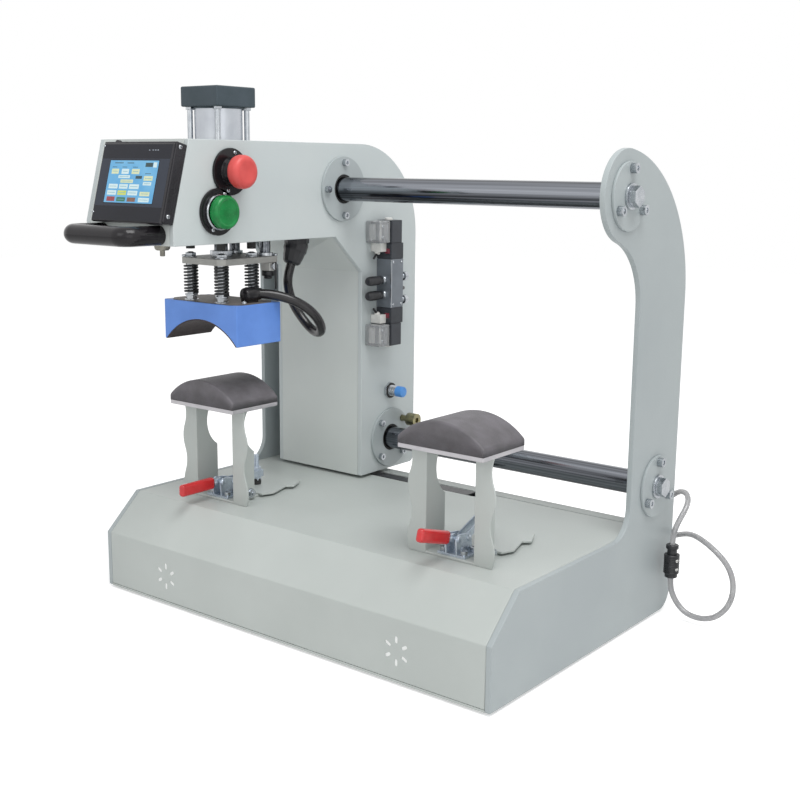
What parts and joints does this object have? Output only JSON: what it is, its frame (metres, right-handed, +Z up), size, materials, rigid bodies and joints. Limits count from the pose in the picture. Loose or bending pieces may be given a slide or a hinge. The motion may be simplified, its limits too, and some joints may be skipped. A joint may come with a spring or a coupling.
{
  "type": "cap heat press",
  "caption": "Two-station cap heat press with a C-shaped pneumatic head that slides along guide shafts between domed pad stands.",
  "frame": {"origin": "on the floor under the feet, at the middle of the machine in plan", "axes": "+X to the operator's right along the guide shafts, +Y to the rear, +Z up"},
  "size_m": [0.8346, 0.6153, 0.741],
  "materials": {
    "grey_paint": "semi-gloss powder coat",
    "plate_paint": "semi-gloss powder coat",
    "chrome": "polished",
    "zinc": "bright zinc",
    "alu": "satin",
    "blue_block": "satin blue enamel",
    "grey_silicone": "matt silicone",
    "black_rubber": "matt",
    "black_plastic": "fine grain",
    "gloss_black": "gloss",
    "red_vinyl": "dipped vinyl",
    "red_button": "gloss",
    "green_button": "gloss",
    "slate_cap": "satin",
    "yellow_zinc": "yellow chromate",
    "clear_tube": "clear, gloss",
    "black_sleeve": "glossy silicone sleeve",
    "spring_steel": "black oxide",
    "dark_lining": "heat-resistant cloth",
    "screen": "gloss"
  },
  "bodies": {
    "base": {"base_casing": "grey_paint", "base_floor": "grey_paint", "rear_cover": "grey_paint", "cable_chain": "black_plastic", "right_side_plate": "plate_paint", "left_side_plate": "plate_paint", "rubber_feet": "black_rubber", "guide_shafts": "chrome", "shaft_end_flanges": "plate_paint", "shaft_end_bolts": "zinc", "flange_screws": "zinc", "power_inlet": "black_plastic", "air_ports": "zinc", "upper_air_tube": "clear_tube", "lower_air_tube": "clear_tube", "slide_valve_core": "black_plastic", "cap_stands": "grey_paint", "pad_plates": "alu", "left_pad": "grey_silicone", "right_pad": "grey_silicone", "tongue_plates": "grey_paint", "clamp_bases": "zinc", "stand_screws": "zinc"},
    "hand_valve_sleeve": {"slide_valve_sleeve": "black_plastic"},
    "left_lever": {"left_clamp_lever": "red_vinyl"},
    "right_lever": {"right_clamp_lever": "red_vinyl"},
    "left_hold_arm": {"left_clamp_arm": "zinc"},
    "right_hold_arm": {"right_clamp_arm": "zinc"},
    "head": {"head_right_plate": "grey_paint", "head_left_plate": "grey_paint", "head_cover": "grey_paint", "arm_floor_plate": "alu", "linear_bearings": "zinc", "bearing_screws": "zinc", "cylinder_caps": "slate_cap", "cylinder_barrel": "alu", "tie_rods": "zinc", "guide_bushes": "black_plastic", "arm_bumpers": "black_rubber", "panel_box": "black_plastic", "panel_screen": "screen", "grab_handle": "gloss_black", "arm_knob": "yellow_zinc", "button_bases": "black_plastic", "valve_body": "alu", "valve_coils": "black_plastic", "valve_connectors": "clear_tube", "proximity_sensor": "zinc", "stop_buffer": "yellow_zinc", "cable_gland": "black_plastic", "heater_lead": "black_sleeve"},
    "ram": {"ram_rods": "chrome", "pressure_plate": "alu"},
    "platen": {"spring_rods": "zinc", "springs": "spring_steel", "heating_block": "blue_block", "block_lining": "dark_lining"},
    "stop_stem": {"estop_stem": "black_plastic"},
    "stop_knob": {"estop_head": "red_button"},
    "start_knob": {"start_button": "green_button"}
  },
  "joints": [
    {"name": "carriage_slide", "type": "slide", "parent": "base", "child": "head", "axis": [1, 0, 0], "range_m": [0, 0.433]},
    {"name": "ram_slide", "type": "slide", "parent": "head", "child": "ram", "axis": [0, 0, -1], "range_m": [0, 0.0865]},
    {"name": "platen_float", "type": "slide", "parent": "ram", "child": "platen", "axis": [0, 0, 1], "range_m": [0, 0.003], "stiffness_N_per_m": 8000, "springref_m": -0.003, "deforming": ["springs"]},
    {"name": "stop_press", "type": "slide", "parent": "head", "child": "stop_stem", "axis": [-1, 0, 0], "range_m": [0, 0.004], "stiffness_N_per_m": 500},
    {"name": "stop_release_twist", "type": "hinge", "parent": "stop_stem", "child": "stop_knob", "pos_m": [-0.1265, -0.1225, 0.624], "axis": [1, 0, 0], "range_deg": [0, 30], "stiffness_Nm_per_rad": 0.05},
    {"name": "start_press", "type": "slide", "parent": "head", "child": "start_knob", "axis": [-1, 0, 0], "range_m": [0, 0.003], "stiffness_N_per_m": 500},
    {"name": "left_lever_lift", "type": "hinge", "parent": "base", "child": "left_lever", "pos_m": [-0.2165, -0.069, 0.167], "axis": [-1, 0, 0], "range_deg": [0, 65]},
    {"name": "left_arm_lift", "type": "hinge", "parent": "base", "child": "left_hold_arm", "pos_m": [-0.2165, -0.047, 0.164], "axis": [1, 0, 0], "range_deg": [0, 91.01]},
    {"name": "right_lever_lift", "type": "hinge", "parent": "base", "child": "right_lever", "pos_m": [0.2165, -0.069, 0.167], "axis": [-1, 0, 0], "range_deg": [-16, 49]},
    {"name": "right_arm_lift", "type": "hinge", "parent": "base", "child": "right_hold_arm", "pos_m": [0.2165, -0.047, 0.164], "axis": [1, 0, 0], "range_deg": [-22.41, 68.61]},
    {"name": "hand_valve_slide", "type": "slide", "parent": "base", "child": "hand_valve_sleeve", "axis": [0, 0, 1], "range_m": [0, 0.008]}
  ],
  "couplings": [
    {"joint": "left_arm_lift", "follows": "left_lever_lift", "ratio": 1.4},
    {"joint": "right_arm_lift", "follows": "right_lever_lift", "ratio": 1.4}
  ]
}
